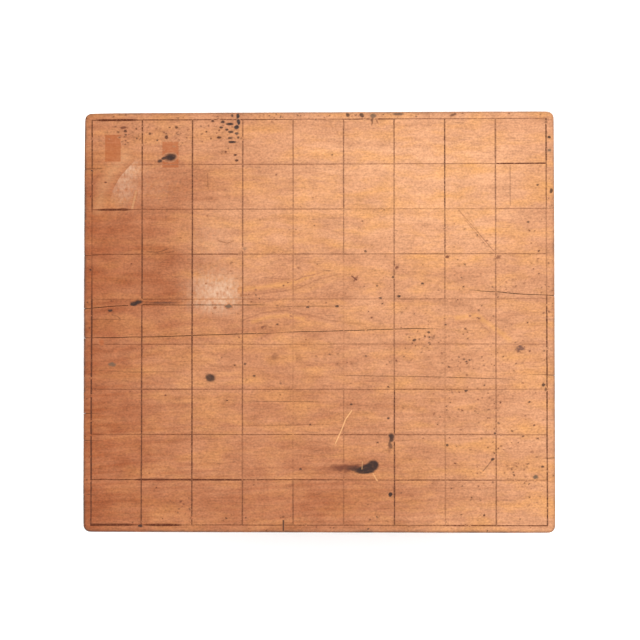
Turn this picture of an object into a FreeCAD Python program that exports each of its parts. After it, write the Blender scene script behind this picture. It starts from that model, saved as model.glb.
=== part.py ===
"""Low floor-standing shogi board: a thick wooden block ruled nine by nine, on four carved push-fit legs.

Millimetres. The origin is on the floor, under the middle of the board. +X runs along the grain and along
the longer side of the cells, from one player to the other. +Y runs across the grain and +Z is up.
"""

import FreeCAD
import Part
import Sketcher

import math
import os

DIMENSIONS = {
    # block
    "board_length": 364.0,
    "board_width": 325.0,
    "board_thickness": 106.0,
    "corner_radius": 4.5,
    "top_edge_radius": 1.5,
    "bottom_edge_radius": 1.0,
    # ruled grid: file lines run along X and rank lines along Y, sunk into the top of the block
    "cell_count": 9,
    "cell_length": 39.07,
    "cell_width": 34.85,
    "file_line_width": 0.8,
    "rank_line_width": 1.0,
    "line_depth": 0.4,
    # square recess in the middle of the underside, with a low pyramid left standing in it
    "recess_side": 72.0,
    "recess_depth": 18.0,
    "pyramid_base": 60.0,
    "pyramid_tip": 4.0,
    "pyramid_height": 6.0,
    # legs: the carved body is eight-sided, each section given by its corner radius and its height
    "leg_height": 91.0,
    "leg_spacing_x": 260.0,
    "leg_spacing_y": 220.0,
    "sole_radius": 20.0,
    "sole_height": 0.0,
    "foot_radius": 21.5,
    "foot_height": 4.5,
    "waist_radius": 16.0,
    "waist_height": 17.0,
    "calf_radius": 22.0,
    "calf_height": 34.0,
    "swell_radius": 34.0,
    "swell_height": 55.0,
    "belly_radius": 41.0,
    "belly_height": 75.0,
    "shoulder_radius": 38.0,
    "shoulder_height": 91.0,
    # square tenon on top of each leg, and the mortise in the block that it is pushed into
    "tenon_side": 30.0,
    "tenon_length": 28.0,
    "tenon_clearance": 0.1,
    "mortise_depth": 32.0,
}
LEG_SECTIONS = ("sole", "foot", "waist", "calf", "swell", "belly", "shoulder")
LEG_CORNERS = {  # node name: which way the leg lies from the middle, along X and along Y
    "leg_front_left": (-1, -1),
    "leg_front_right": (1, -1),
    "leg_back_left": (-1, 1),
    "leg_back_right": (1, 1),
}
LEG_SIDES = 8
SKETCH_ORIGIN = (-1, 1)  # the sketcher's name for a sketch's own origin point
SAME_HEIGHT = 1e-6

doc = FreeCAD.newDocument("ShogiBoard")


def make_sheet():
    """The spreadsheet of driving dimensions, one aliased row each."""
    sheet = doc.addObject("Spreadsheet::Sheet", "Dimensions")
    for row, (alias, value) in enumerate(DIMENSIONS.items(), start=1):
        sheet.set(f"A{row}", alias)
        sheet.set(f"B{row}", str(value))
        sheet.setAlias(f"B{row}", alias)
    doc.recompute()


def sized(formula):
    """A formula in words, such as 'board_length / 2', with each word pointed at its spreadsheet cell."""
    words = (f"Dimensions.{word}" if word in DIMENSIONS else word for word in formula.split())
    return " ".join(words)


def new_body(label):
    """An empty sub-part whose label names its node."""
    body = doc.addObject("PartDesign::Body", label)
    body.Label = label
    return body


def origin_part(body, role):
    """One of the body's own origin planes or axes."""
    return next(part for part in body.Origin.OriginFeatures if part.Role == role)


def new_sketch(body, name, height="0"):
    """A sketch parallel to the body's XY plane, at the height that the formula gives."""
    sketch = body.newObject("Sketcher::SketchObject", name)
    sketch.AttachmentSupport = (origin_part(body, "XY_Plane"), [""])
    sketch.MapMode = "FlatFace"
    sketch.setExpression("AttachmentOffset.Base.z", sized(height))
    return sketch


def drive(sketch, formula, kind, *terms):
    """Adds a dimension to a sketch and drives it from the spreadsheet."""
    index = sketch.addConstraint(Sketcher.Constraint(kind, *terms))
    sketch.setExpression(f"Constraints[{index}]", sized(formula))


def closed_polygon(sketch, corners):
    """Straight lines round the corners, each joined to the next. Returns the lines' numbers."""
    following = corners[1:] + corners[:1]
    lines = [sketch.addGeometry(Part.LineSegment(a, b), False) for a, b in zip(corners, following)]
    for line, after in zip(lines, lines[1:] + lines[:1]):
        sketch.addConstraint(Sketcher.Constraint("Coincident", line, 2, after, 1))
    return lines


def draw_rectangle(sketch, left, right, front, back):
    """A rectangle between two formulas along X and two along Y."""
    corners = [FreeCAD.Vector(x, y, 0) for x, y in ((-1, -1), (1, -1), (1, 1), (-1, 1))]
    front_line, right_line, back_line, left_line = closed_polygon(sketch, corners)
    for line in (front_line, back_line):
        sketch.addConstraint(Sketcher.Constraint("Horizontal", line))
    for line in (right_line, left_line):
        sketch.addConstraint(Sketcher.Constraint("Vertical", line))
    drive(sketch, left, "DistanceX", *SKETCH_ORIGIN, front_line, 1, -1)
    drive(sketch, front, "DistanceY", *SKETCH_ORIGIN, front_line, 1, -1)
    drive(sketch, right, "DistanceX", *SKETCH_ORIGIN, right_line, 2, 1)
    drive(sketch, back, "DistanceY", *SKETCH_ORIGIN, right_line, 2, 1)


def draw_centred(sketch, length, width):
    """A rectangle centred on the sketch's origin."""
    draw_rectangle(sketch, f"- {length} / 2", f"{length} / 2", f"- {width} / 2", f"{width} / 2")


def draw_octagon(sketch, radius):
    """A regular octagon on a guide circle, with flat sides facing along X and Y."""
    size = DIMENSIONS[radius]
    turn = 2 * math.pi / LEG_SIDES
    angles = [(step - 0.5) * turn for step in range(LEG_SIDES)]
    corners = [FreeCAD.Vector(size * math.cos(a), size * math.sin(a), 0) for a in angles]
    lines = closed_polygon(sketch, corners)
    guide = sketch.addGeometry(Part.Circle(FreeCAD.Vector(), FreeCAD.Vector(0, 0, 1), size), True)
    sketch.addConstraint(Sketcher.Constraint("Coincident", guide, 3, *SKETCH_ORIGIN))
    for line in lines:
        sketch.addConstraint(Sketcher.Constraint("PointOnObject", line, 1, guide))
    for line in lines[1:]:
        sketch.addConstraint(Sketcher.Constraint("Equal", lines[0], line))
    sketch.addConstraint(Sketcher.Constraint("Vertical", lines[0]))
    drive(sketch, radius, "Radius", guide, size)


def extrude(body, kind, name, profile, length, upwards=True):
    """A Pad or a Pocket of the profile, upwards or downwards, as deep as the formula says."""
    feature = body.newObject(f"PartDesign::{kind}", name)
    feature.Profile = profile
    feature.setExpression("Length", sized(length))
    default_is_up = kind == "Pad"
    feature.Reversed = upwards != default_is_up
    return feature


def repeat(body, name, original, axis, length, count):
    """A row of copies of a feature along one of the body's own axes."""
    pattern = body.newObject("PartDesign::LinearPattern", name)
    pattern.Originals = [original]
    pattern.Direction = (origin_part(body, axis), [""])
    pattern.setExpression("Length", sized(length))
    pattern.setExpression("Occurrences", sized(count))
    body.Tip = pattern
    return pattern


def round_edges(body, name, radius, wanted):
    """Fillets every edge of the body that the test picks out."""
    doc.recompute()
    base = body.Tip
    edges = [f"Edge{number}" for number, edge in enumerate(base.Shape.Edges, start=1) if wanted(edge)]
    fillet = body.newObject("PartDesign::Fillet", name)
    fillet.Base = (base, edges)
    fillet.setExpression("Radius", sized(radius))


def lies_at(height):
    """A test for edges that lie flat at one height."""
    return lambda edge: max(abs(edge.BoundBox.ZMin - height), abs(edge.BoundBox.ZMax - height)) < SAME_HEIGHT


def stands_upright(edge):
    """A test for vertical edges."""
    return edge.BoundBox.ZLength > max(edge.BoundBox.XLength, edge.BoundBox.YLength)


def draw_line_strip(sketch, along):
    """The outline of the first file line ('X') or of the first rank line, from end to end ('Y')."""
    if along == "X":
        reach = "( cell_count * cell_length + rank_line_width ) / 2"
        middle = "- cell_count * cell_width / 2"
        draw_rectangle(
            sketch, f"- {reach}", reach, f"{middle} - file_line_width / 2", f"{middle} + file_line_width / 2"
        )
    else:
        reach = "cell_count * cell_width / 2"
        middle = "- cell_count * cell_length / 2"
        draw_rectangle(
            sketch, f"{middle} - rank_line_width / 2", f"{middle} + rank_line_width / 2", f"- {reach}", reach
        )


def make_block():
    """The playing block, with the grooves for the lines, four mortises and the underside recess."""
    body = new_body("board_block")
    outline = new_sketch(body, "BlockOutline")
    draw_centred(outline, "board_length", "board_width")
    extrude(body, "Pad", "BlockPad", outline, "board_thickness")
    round_edges(body, "UprightCorners", "corner_radius", stands_upright)
    round_edges(body, "TopEdges", "top_edge_radius", lies_at(DIMENSIONS["board_thickness"]))
    round_edges(body, "BottomEdges", "bottom_edge_radius", lies_at(0))

    file_outline = new_sketch(body, "FileGrooveOutline", "board_thickness")
    draw_line_strip(file_outline, "X")
    file_groove = extrude(body, "Pocket", "FileGroove", file_outline, "line_depth", upwards=False)
    repeat(body, "FileGrooves", file_groove, "Y_Axis", "cell_count * cell_width", "cell_count + 1")
    rank_outline = new_sketch(body, "RankGrooveOutline", "board_thickness")
    draw_line_strip(rank_outline, "Y")
    rank_groove = extrude(body, "Pocket", "RankGroove", rank_outline, "line_depth", upwards=False)
    repeat(body, "RankGrooves", rank_groove, "X_Axis", "cell_count * cell_length", "cell_count + 1")

    mortise_outline = new_sketch(body, "MortiseOutline")
    half = "( tenon_side / 2 + tenon_clearance )"
    for way_x, way_y in LEG_CORNERS.values():
        middle_x = f"{way_x} * leg_spacing_x / 2"
        middle_y = f"{way_y} * leg_spacing_y / 2"
        draw_rectangle(
            mortise_outline,
            f"{middle_x} - {half}",
            f"{middle_x} + {half}",
            f"{middle_y} - {half}",
            f"{middle_y} + {half}",
        )
    extrude(body, "Pocket", "Mortises", mortise_outline, "mortise_depth")

    recess_outline = new_sketch(body, "RecessOutline")
    draw_centred(recess_outline, "recess_side", "recess_side")
    extrude(body, "Pocket", "Recess", recess_outline, "recess_depth")
    base_outline = new_sketch(body, "PyramidBase", "recess_depth")
    draw_centred(base_outline, "pyramid_base", "pyramid_base")
    tip_outline = new_sketch(body, "PyramidTip", "recess_depth - pyramid_height")
    draw_centred(tip_outline, "pyramid_tip", "pyramid_tip")
    pyramid = body.newObject("PartDesign::AdditiveLoft", "Pyramid")
    pyramid.Profile = base_outline
    pyramid.Sections = [tip_outline]

    body.setExpression("Placement.Base.z", sized("leg_height"))
    return body


def make_file_lines():
    """Ten straight lacquer lines along the grain, filling their grooves."""
    body = new_body("file_lines")
    body.AllowCompound = True
    outline = new_sketch(body, "FileLineOutline")
    draw_line_strip(outline, "X")
    line = extrude(body, "Pad", "FileLine", outline, "line_depth")
    repeat(body, "FileLines", line, "Y_Axis", "cell_count * cell_width", "cell_count + 1")
    body.setExpression("Placement.Base.z", sized("leg_height + board_thickness - line_depth"))
    return body


def make_rank_lines():
    """Ten lacquer lines across the grain, each broken where a file line crosses it."""
    body = new_body("rank_lines")
    body.AllowCompound = True
    outline = new_sketch(body, "RankLineOutline")
    across = "- cell_count * cell_length / 2"
    along = "- cell_count * cell_width / 2"
    draw_rectangle(
        outline,
        f"{across} - rank_line_width / 2",
        f"{across} + rank_line_width / 2",
        f"{along} + file_line_width / 2",
        f"{along} + cell_width - file_line_width / 2",
    )
    stroke = extrude(body, "Pad", "RankStroke", outline, "line_depth")
    pattern = repeat(body, "RankLines", stroke, "X_Axis", "cell_count * cell_length", "cell_count + 1")
    pattern.Direction2 = (origin_part(body, "Y_Axis"), [""])
    pattern.setExpression("Length2", sized("( cell_count - 1 ) * cell_width"))
    pattern.setExpression("Occurrences2", sized("cell_count"))
    body.setExpression("Placement.Base.z", sized("leg_height + board_thickness - line_depth"))
    return body


def make_leg(label, way_x, way_y):
    """One carved leg: a small foot, a narrow waist, a full belly with eight ridges, and a square tenon."""
    body = new_body(label)
    sections = []
    for section in LEG_SECTIONS:
        sketch = new_sketch(body, f"{label}_{section}", f"{section}_height")
        draw_octagon(sketch, f"{section}_radius")
        sections.append(sketch)
    carved = body.newObject("PartDesign::AdditiveLoft", f"{label}_carved")
    carved.Profile = sections[0]
    carved.Sections = sections[1:]
    tenon_outline = new_sketch(body, f"{label}_tenon_outline", "leg_height")
    draw_centred(tenon_outline, "tenon_side", "tenon_side")
    extrude(body, "Pad", f"{label}_tenon", tenon_outline, "tenon_length")
    body.setExpression("Placement.Base.x", sized(f"{way_x} * leg_spacing_x / 2"))
    body.setExpression("Placement.Base.y", sized(f"{way_y} * leg_spacing_y / 2"))
    return body


def check_and_write(bodies):
    """Stops on any failed object or bad shape, then writes each sub-part to its own file."""
    failed = [item.Name for item in doc.Objects if {"Invalid", "Error"} & set(item.State)]
    if failed:
        raise RuntimeError(f"these objects failed: {failed}")
    for body in bodies:
        if body.Shape.isNull() or not body.Shape.isValid():
            raise RuntimeError(f"{body.Label} has no valid shape")
    os.makedirs("parts", exist_ok=True)
    for body in bodies:
        body.Shape.exportStep(f"parts/{body.Label}.step")
        box = body.Shape.BoundBox
        print(
            f"{body.Label}: {len(body.Shape.Solids)} solids, {body.Shape.Volume / 1000:.2f} cm3,",
            f"x {box.XMin:.2f} to {box.XMax:.2f}, y {box.YMin:.2f} to {box.YMax:.2f},",
            f"z {box.ZMin:.2f} to {box.ZMax:.2f}",
        )


make_sheet()
parts = [make_block(), make_file_lines(), make_rank_lines()]
parts += [make_leg(label, *ways) for label, ways in LEG_CORNERS.items()]
doc.recompute()
check_and_write(parts)
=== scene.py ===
"""An old shogi board seen from straight above: the worn, checked and ink-marked wooden block, its hand-drawn
lacquer lines and its carved legs, on a pale floor. Metres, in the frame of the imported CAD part."""

import math
import random

import bpy
from mathutils import Matrix, Vector, noise


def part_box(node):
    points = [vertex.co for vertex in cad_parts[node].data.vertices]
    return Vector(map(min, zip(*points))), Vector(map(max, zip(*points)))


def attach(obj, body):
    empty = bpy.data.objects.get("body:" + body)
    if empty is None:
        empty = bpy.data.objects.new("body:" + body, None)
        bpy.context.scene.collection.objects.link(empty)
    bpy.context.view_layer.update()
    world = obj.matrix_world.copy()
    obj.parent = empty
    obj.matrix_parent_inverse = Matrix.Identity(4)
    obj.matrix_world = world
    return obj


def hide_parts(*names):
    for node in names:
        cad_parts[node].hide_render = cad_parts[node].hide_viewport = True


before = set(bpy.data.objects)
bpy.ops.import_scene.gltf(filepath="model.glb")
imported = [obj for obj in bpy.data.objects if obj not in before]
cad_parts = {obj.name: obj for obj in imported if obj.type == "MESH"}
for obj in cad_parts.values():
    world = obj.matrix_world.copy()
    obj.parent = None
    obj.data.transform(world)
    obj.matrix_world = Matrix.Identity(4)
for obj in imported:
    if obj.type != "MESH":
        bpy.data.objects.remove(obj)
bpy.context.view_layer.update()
MM = 0.001
random.seed(9)

# ---------------------------------------------------------------- places, all taken from the frame
BLOCK_LOW, BLOCK_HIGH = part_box("board_block")
FILE_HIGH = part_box("file_lines")[1]
RANK_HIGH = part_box("rank_lines")[1]
LEGS = [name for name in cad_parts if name.startswith("leg_")]
HALF_X, HALF_Y = BLOCK_HIGH.x, BLOCK_HIGH.y
TOP = BLOCK_HIGH.z
UNDERSIDE = BLOCK_LOW.z
CELLS = 9
RANK_WIDTH = 1.0 * MM
FILE_WIDTH = 0.8 * MM
GRID_X = RANK_HIGH.x - RANK_WIDTH / 2
GRID_Y = FILE_HIGH.y - FILE_WIDTH / 2
CELL_X = 2 * GRID_X / CELLS
CELL_Y = 2 * GRID_Y / CELLS
CORNER = 5.4 * MM  # worn rounder than the 4.5 mm of the plain block
WEAR = 0.34  # mm worn off the top, and how much that varies over wide and small areas
WIDE_WEAR = 0.1
SMALL_WEAR = 0.04


def place(u, v):
    """The point u cells right of the left rank line and v cells down from the back file line."""
    return u * CELL_X - GRID_X, GRID_Y - v * CELL_Y


def cell_at(x, y):
    """The reverse of place."""
    return (x + GRID_X) / CELL_X, (GRID_Y - y) / CELL_Y


def ramp(value):
    """The value, kept from 0 to 1."""
    return min(max(value, 0.0), 1.0)


def wander(x, y, size, seed):
    """Smooth noise from -1 to 1 over the board, with features of about the given size."""
    return noise.noise(Vector((x / size, y / size, seed)))


def surface(x, y):
    """Height of the worn top, always a little below the flat top of the CAD block."""
    wear = WEAR + WIDE_WEAR * wander(x, y, 0.06, 1.0) + SMALL_WEAR * wander(x, y, 0.012, 2.0)
    return TOP - wear * MM


# ---------------------------------------------------------------- how light the wood is, place by place
# The broadest patches, lighter at the back right and darker along the front, are partly the wood's own tone
# and partly painted light from the back right.
TONE_PATCHES = (  # u, v, reach along u, reach along v, lighter (+) or darker (-)
    (6, 0.9, 3.4, 2.3, 0.38),
    (0.8, 0.2, 2.2, 0.8, 0.23),
    (6.8, 0, 2.4, 0.6, -0.12),
    (2.3, 1.5, 1.2, 0.5, -0.14),
    (2.8, 2.3, 1, 0.9, 0.17),
    (1.5, 3.3, 0.6, 1.6, -0.11),
    (3.4, 3.4, 0.7, 0.4, 0.1),
    (4.8, 8.4, 2.2, 1.2, -0.3),
    (0.2, 2.8, 0.8, 1.2, -0.08),
    (1.7, 5.7, 0.9, 0.7, 0.1),
    (2.3, 6.2, 1, 1.7, 0.08),
    (9.2, 1.8, 0.9, 2.6, -0.15),
    (0.6, 7.3, 1, 0.9, -0.06),
    (3.8, 8, 1, 0.9, 0.07),
    (5.5, 1.5, 0.5, 0.4, -0.07),
    (7.5, 2.5, 0.5, 0.5, 0.09),
    (7.5, 3.5, 0.6, 0.4, -0.08),
    (5.5, 4.3, 0.6, 0.7, 0.07),
    (0.6, 1.5, 0.8, 0.5, 0.07),
    (5, 6.4, 2, 0.6, -0.06),
)


LEFT_LIGHT = 0.08  # the lightness at the left end, before the patches
LIGHT_RISE = 0.6  # what it gains by the right end, partly the wood's own tone and partly painted light
LIGHT_CURVE = 0.75  # under 1, so it gains a little faster at the left
DARKEST_TONE = 0.125
TONE_RANGE = 0.8


def tone(x, y):
    """0 for the darkest to 1 for the lightest: darker and redder to the left and along the front. This is
    partly the wood's own tone and partly painted light, lighter towards the lamp at the back right.
    """
    u, v = cell_at(x, y)
    light = LEFT_LIGHT + LIGHT_RISE * (min(max(u, 0.0), CELLS) / CELLS) ** LIGHT_CURVE
    for at_u, at_v, reach_u, reach_v, amount in TONE_PATCHES:
        light += amount * math.exp(-(((u - at_u) / reach_u) ** 2) - ((v - at_v) / reach_v) ** 2)
    return DARKEST_TONE + TONE_RANGE * light


# ---------------------------------------------------------------- shader building blocks
DARK_WOOD = (0.163, 0.026, 0.001, 1)
LIGHT_WOOD = (0.502, 0.255, 0.134, 1)
HONEY = (0.46, 0.205, 0.05, 1)
PALE = (0.46, 0.29, 0.19, 1)  # bloom on the wood
# Dark colour for painted shade along the rounded top edges and for dirt on the sides
EDGE_SHADE_AND_DIRT = (0.055, 0.032, 0.024, 1)
# Painted shade for the inside of the cracks; the lighter colour also has some dust in it
CRACK_DARK = (0.016, 0.008, 0.005, 1)
CRACK_DUSTY_SHADE = (0.06, 0.024, 0.012, 1)
PITH = (0.0, 0.03, 0.03)  # the tree's centre runs along X, low under the block
RING_PITCH = 3.1 * MM
RING_CLIMB = 0.022  # how fast the rings shift along the grain, because the tree tapers
RING_DEPTH = 0.09  # how dark the rings are on the long grain
END_RING_DEPTH = 0.3  # and how much darker on the end grain
END_TONE = 0.42


def add_node(tree, kind, inputs=None, **settings):
    """A shader node with its settings, and its inputs linked to sockets or set to plain values."""
    node = tree.nodes.new("ShaderNode" + kind)
    for name, value in settings.items():
        setattr(node, name, value)
    for key, value in (inputs or {}).items():
        if isinstance(value, bpy.types.NodeSocket):
            tree.links.new(value, node.inputs[key])
        else:
            node.inputs[key].default_value = value
    return node


def calc(tree, operation, *values):
    return add_node(tree, "Math", dict(enumerate(values)), operation=operation).outputs[0]


def vector_calc(tree, operation, *values):
    return add_node(tree, "VectorMath", dict(enumerate(values)), operation=operation).outputs[0]


def mixed(tree, amount, a, b):
    """Colour a turning to colour b as the amount goes from 0 to 1."""
    return add_node(tree, "Mix", {0: amount, 6: a, 7: b}, data_type="RGBA").outputs[2]


def grain_noise(tree, position, per_metre, detail=2.0, roughness=0.55):
    """Noise from 0 to 1 with its own number of features per metre along X, Y and Z."""
    stretched = vector_calc(tree, "MULTIPLY", position, per_metre)
    inputs = {"Vector": stretched, "Scale": 1.0, "Detail": detail, "Roughness": roughness}
    return add_node(tree, "TexNoise", inputs).outputs[0]


def attribute(tree, name):
    return add_node(tree, "Attribute", attribute_name=name)


def spread_by(tree, value, patterns):
    """A value varied up and down by each noise pattern, as far as its depth says."""
    for pattern, depth in patterns:
        value = calc(tree, "MULTIPLY_ADD", calc(tree, "SUBTRACT", pattern, 0.5), depth, value)
    return value


def swayed(tree, position, per_metre, detail, reach):
    """The position pushed about across the grain by a slow noise."""
    sway = vector_calc(tree, "MULTIPLY", position, per_metre)
    sway = add_node(tree, "TexNoise", {"Vector": sway, "Scale": 1.0, "Detail": detail}).outputs[1]
    sway = vector_calc(tree, "SUBTRACT", sway, (0.5, 0.5, 0.5))
    return vector_calc(tree, "MULTIPLY_ADD", sway, (0, reach, reach), position)


def wood(tree, position, light, ring_depth=RING_DEPTH):
    """Solid flat-sawn wood with its grain along X. Returns its colour and its height for the bump."""
    bent = swayed(tree, position, (5, 11, 11), 2.0, 14 * MM)
    wavy = swayed(tree, position, (20, 34, 34), 1.0, 11 * MM)
    across = vector_calc(tree, "MULTIPLY", vector_calc(tree, "SUBTRACT", bent, PITH), (0, 1, 1))
    radius = add_node(tree, "VectorMath", {0: across}, operation="LENGTH").outputs["Value"]
    along = add_node(tree, "SeparateXYZ", {0: position}).outputs["X"]
    radius = calc(tree, "MULTIPLY_ADD", along, RING_CLIMB, radius)
    wave = calc(tree, "SINE", calc(tree, "MULTIPLY", radius, 2 * math.pi / RING_PITCH))
    rings = calc(tree, "POWER", calc(tree, "MULTIPLY_ADD", wave, 0.5, 0.5), 2.5)
    bands = grain_noise(tree, wavy, (2.2, 55, 55))
    streaks = grain_noise(tree, wavy, (15, 240, 240), detail=3.0)
    fibres = grain_noise(tree, position, (150, 900, 900))
    flecks = grain_noise(tree, position, (620, 800, 800))
    mottle = grain_noise(tree, wavy, (58, 85, 85), detail=4.0)
    ringed = calc(tree, "MULTIPLY", rings, calc(tree, "MULTIPLY", bands, ring_depth))
    value = calc(tree, "SUBTRACT", light, ringed)
    value = spread_by(tree, value, ((bands, 0.15), (streaks, 0.2), (mottle, 0.24)))
    value = calc(tree, "ADD", value, 0.02)
    colour = mixed(tree, value, DARK_WOOD, LIGHT_WOOD)
    golden = grain_noise(tree, wavy, (30, 90, 90), detail=4.0)
    golden = calc(tree, "MULTIPLY_ADD", calc(tree, "SUBTRACT", golden, 0.5), 2.6, 0.12)
    golden = calc(tree, "MULTIPLY", add_node(tree, "Clamp", {0: golden}).outputs[0], value)
    colour = mixed(tree, golden, colour, HONEY)
    pores = calc(tree, "SUBTRACT", grain_noise(tree, position, (70, 1400, 1400)), 0.62)
    pores = add_node(tree, "Clamp", {0: calc(tree, "MULTIPLY", pores, 7.0)}).outputs[0]
    shading = spread_by(tree, 1.03, ((streaks, 0.2), (fibres, 0.44), (flecks, 0.95), (mottle, 0.2)))
    shading = calc(tree, "MULTIPLY_ADD", pores, -0.3, shading)
    colour = add_node(tree, "VectorMath", {0: colour, "Scale": shading}, operation="SCALE").outputs["Vector"]
    height = calc(tree, "MULTIPLY_ADD", streaks, 0.6, fibres)
    return colour, height


def new_material(name):
    material = bpy.data.materials.new(name)
    material.use_nodes = True
    return material, material.node_tree


def finish_material(tree, colour, height, roughness, bump=0.25):
    """Feeds the colour, the roughness and a fine bump to the material's own shader."""
    shader = tree.nodes["Principled BSDF"]
    relief = add_node(tree, "Bump", {"Height": height, "Strength": bump, "Distance": 0.3 * MM})
    tree.links.new(colour, shader.inputs["Base Color"])
    tree.links.new(relief.outputs[0], shader.inputs["Normal"])
    if isinstance(roughness, bpy.types.NodeSocket):
        tree.links.new(roughness, shader.inputs["Roughness"])
    else:
        shader.inputs["Roughness"].default_value = roughness
    shader.inputs["Specular IOR Level"].default_value = 0.1


def object_position(tree):
    return add_node(tree, "TexCoord").outputs["Object"]


def block_material():
    """Old wood: clear rings on the end grain, a pale bloom in places, painted shade along the rounded top
    edges and dirt on the sides.
    """
    material, tree = new_material("old_board_wood")
    position = object_position(tree)
    light = attribute(tree, "tone").outputs["Fac"]
    facing = add_node(tree, "SeparateXYZ", {0: add_node(tree, "NewGeometry").outputs["Normal"]})
    end_grain = calc(tree, "POWER", calc(tree, "ABSOLUTE", facing.outputs["X"]), 6.0)
    light = calc(tree, "MULTIPLY_ADD", end_grain, calc(tree, "SUBTRACT", END_TONE, light), light)
    ring_depth = calc(tree, "MULTIPLY_ADD", end_grain, END_RING_DEPTH, RING_DEPTH)
    colour, height = wood(tree, position, light, ring_depth)
    bloom = grain_noise(tree, position, (420, 260, 260), detail=4.0)
    bloom = calc(tree, "MULTIPLY_ADD", calc(tree, "SUBTRACT", bloom, 0.5), 2.2, 0.5)
    bloom = calc(tree, "MULTIPLY", bloom, attribute(tree, "haze").outputs["Fac"])
    colour = mixed(tree, bloom, colour, PALE)
    patchy = grain_noise(tree, position, (90, 90, 90), detail=4.0)
    # Painted shade along the rounded top edges and dirt on the sides darken the wood, broken up by the
    # patchy noise.
    dirt_and_edge_shade = calc(tree, "MULTIPLY", attribute(tree, "dirt_and_edge_shade").outputs["Fac"], 1.9)
    dirt_and_edge_shade = calc(tree, "MULTIPLY", dirt_and_edge_shade, patchy)
    colour = mixed(tree, dirt_and_edge_shade, colour, EDGE_SHADE_AND_DIRT)
    roughness = calc(tree, "MULTIPLY_ADD", patchy, 0.25, 0.42)
    finish_material(tree, colour, height, roughness)
    return material


def crack_material():
    """The inside of a crack, painted dark as shade, with some dust."""
    material, tree = new_material("crack_shade")
    position = object_position(tree)
    depth = grain_noise(tree, position, (60, 400, 400))
    colour = mixed(tree, depth, CRACK_DARK, CRACK_DUSTY_SHADE)
    finish_material(tree, colour, depth, 0.9)
    return material


def lacquer_material(name, lacquer):
    """Lacquer worn through to the wood: it covers as much as the strength attribute says, in grains."""
    material, tree = new_material(name)
    position = object_position(tree)
    colour, height = wood(tree, position, attribute(tree, "tone").outputs["Fac"])
    grains = grain_noise(tree, position, (700, 700, 700), detail=3.0)
    cover = calc(tree, "MULTIPLY_ADD", calc(tree, "SUBTRACT", grains, 0.5), 1.6, 1.0)
    cover = calc(tree, "MULTIPLY", cover, attribute(tree, "strength").outputs["Fac"])
    cover = add_node(tree, "Clamp", {0: cover}).outputs[0]
    colour = mixed(tree, cover, colour, lacquer)
    finish_material(tree, colour, height, calc(tree, "MULTIPLY_ADD", cover, -0.12, 0.55), bump=0.15)
    return material


def mark_material(name, broken):
    """Marks soaked into the wood: their own colour, as strong as its alpha, more or less broken up."""
    material, tree = new_material(name)
    position = object_position(tree)
    colour, height = wood(tree, position, attribute(tree, "tone").outputs["Fac"])
    mark = attribute(tree, "mark")
    patchy = grain_noise(tree, position, (300, 600, 600), detail=3.0)
    cover = calc(tree, "MULTIPLY_ADD", calc(tree, "SUBTRACT", patchy, 0.5), broken, 1.0)
    cover = calc(tree, "MULTIPLY", cover, mark.outputs["Alpha"])
    cover = add_node(tree, "Clamp", {0: cover}).outputs[0]
    colour = mixed(tree, cover, colour, mark.outputs["Color"])
    finish_material(tree, colour, height, 0.6)
    return material


def leg_material():
    """The same wood with its grain standing upright."""
    material, tree = new_material("leg_wood")
    upright = add_node(tree, "SeparateXYZ", {0: object_position(tree)}).outputs
    position = add_node(tree, "CombineXYZ", {0: upright["Z"], 1: upright["X"], 2: upright["Y"]}).outputs[0]
    shade = grain_noise(tree, position, (9, 30, 30))
    colour, height = wood(tree, position, calc(tree, "MULTIPLY_ADD", shade, 0.25, 0.2))
    finish_material(tree, colour, height, 0.5)
    return material


# ---------------------------------------------------------------- meshes
def add_floats(mesh, floats):
    """Adds named number attributes, one value for each point."""
    for name, values in floats.items():
        mesh.attributes.new(name, "FLOAT", "POINT").data.foreach_set("value", values)


def new_piece(name, points, faces, material, floats=None, colours=None):
    """A smooth-shaded mesh object with number and colour attributes on its points."""
    mesh = bpy.data.meshes.new(name)
    mesh.from_pydata(points, [], faces)
    mesh.materials.append(material)
    add_floats(mesh, floats or {})
    for attribute_name, values in (colours or {}).items():
        flat = [channel for colour in values for channel in colour]
        mesh.attributes.new(attribute_name, "FLOAT_COLOR", "POINT").data.foreach_set("color", flat)
    mesh.update()
    piece = bpy.data.objects.new(name, mesh)
    bpy.context.collection.objects.link(piece)
    return piece


def shade(piece, angle=40):
    piece.data.shade_smooth()
    piece.data.set_sharp_from_angle(angle=math.radians(angle))


def belongs(piece, slot, *nodes):
    """Every piece rides on the one body. It may stand for CAD nodes."""
    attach(piece, "root")
    if nodes:
        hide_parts(*nodes)


def with_modifier(piece, kind, **settings):
    """Applies a modifier and leaves its result as the piece's own mesh."""
    modifier = piece.modifiers.new(kind.lower(), kind)
    for name, value in settings.items():
        setattr(modifier, name, value)
    shaped = piece.evaluated_get(bpy.context.evaluated_depsgraph_get())
    mesh = bpy.data.meshes.new_from_object(shaped)
    piece.modifiers.remove(modifier)
    piece.data = mesh


EDGE_STEPS = [step * MM for step in (0.0, 0.15, 0.45, 0.9, 1.5, 2.5, 4.5)]
TOP_STEP = 2.2 * MM
WALL_DEPTHS = [depth * MM for depth in (4.5, 8, 14, 24, 38, 54, 70, 86, 98, 103.5, 105)]
BOTTOM_EDGE = 1.0 * MM  # bevel of the bottom edge
CORNER_REACH = 25 * MM  # how far from a corner its extra wear begins
EDGE_RADII = 0.9, 4.2  # least and most rounding of the top edge, in mm
EDGE_RADIUS, EDGE_UNEVEN = 1.6, 0.7  # its usual rounding, and how much that varies
CORNER_EXTRA, BACK_LEFT_EXTRA = 1.4, 0.9
RIM_WIDTH = 1.5  # of the painted shade along the top edges, in mm
END_STRIP = 6 * MM  # the painted edge shade is darker this far in at the left end and the front


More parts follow.
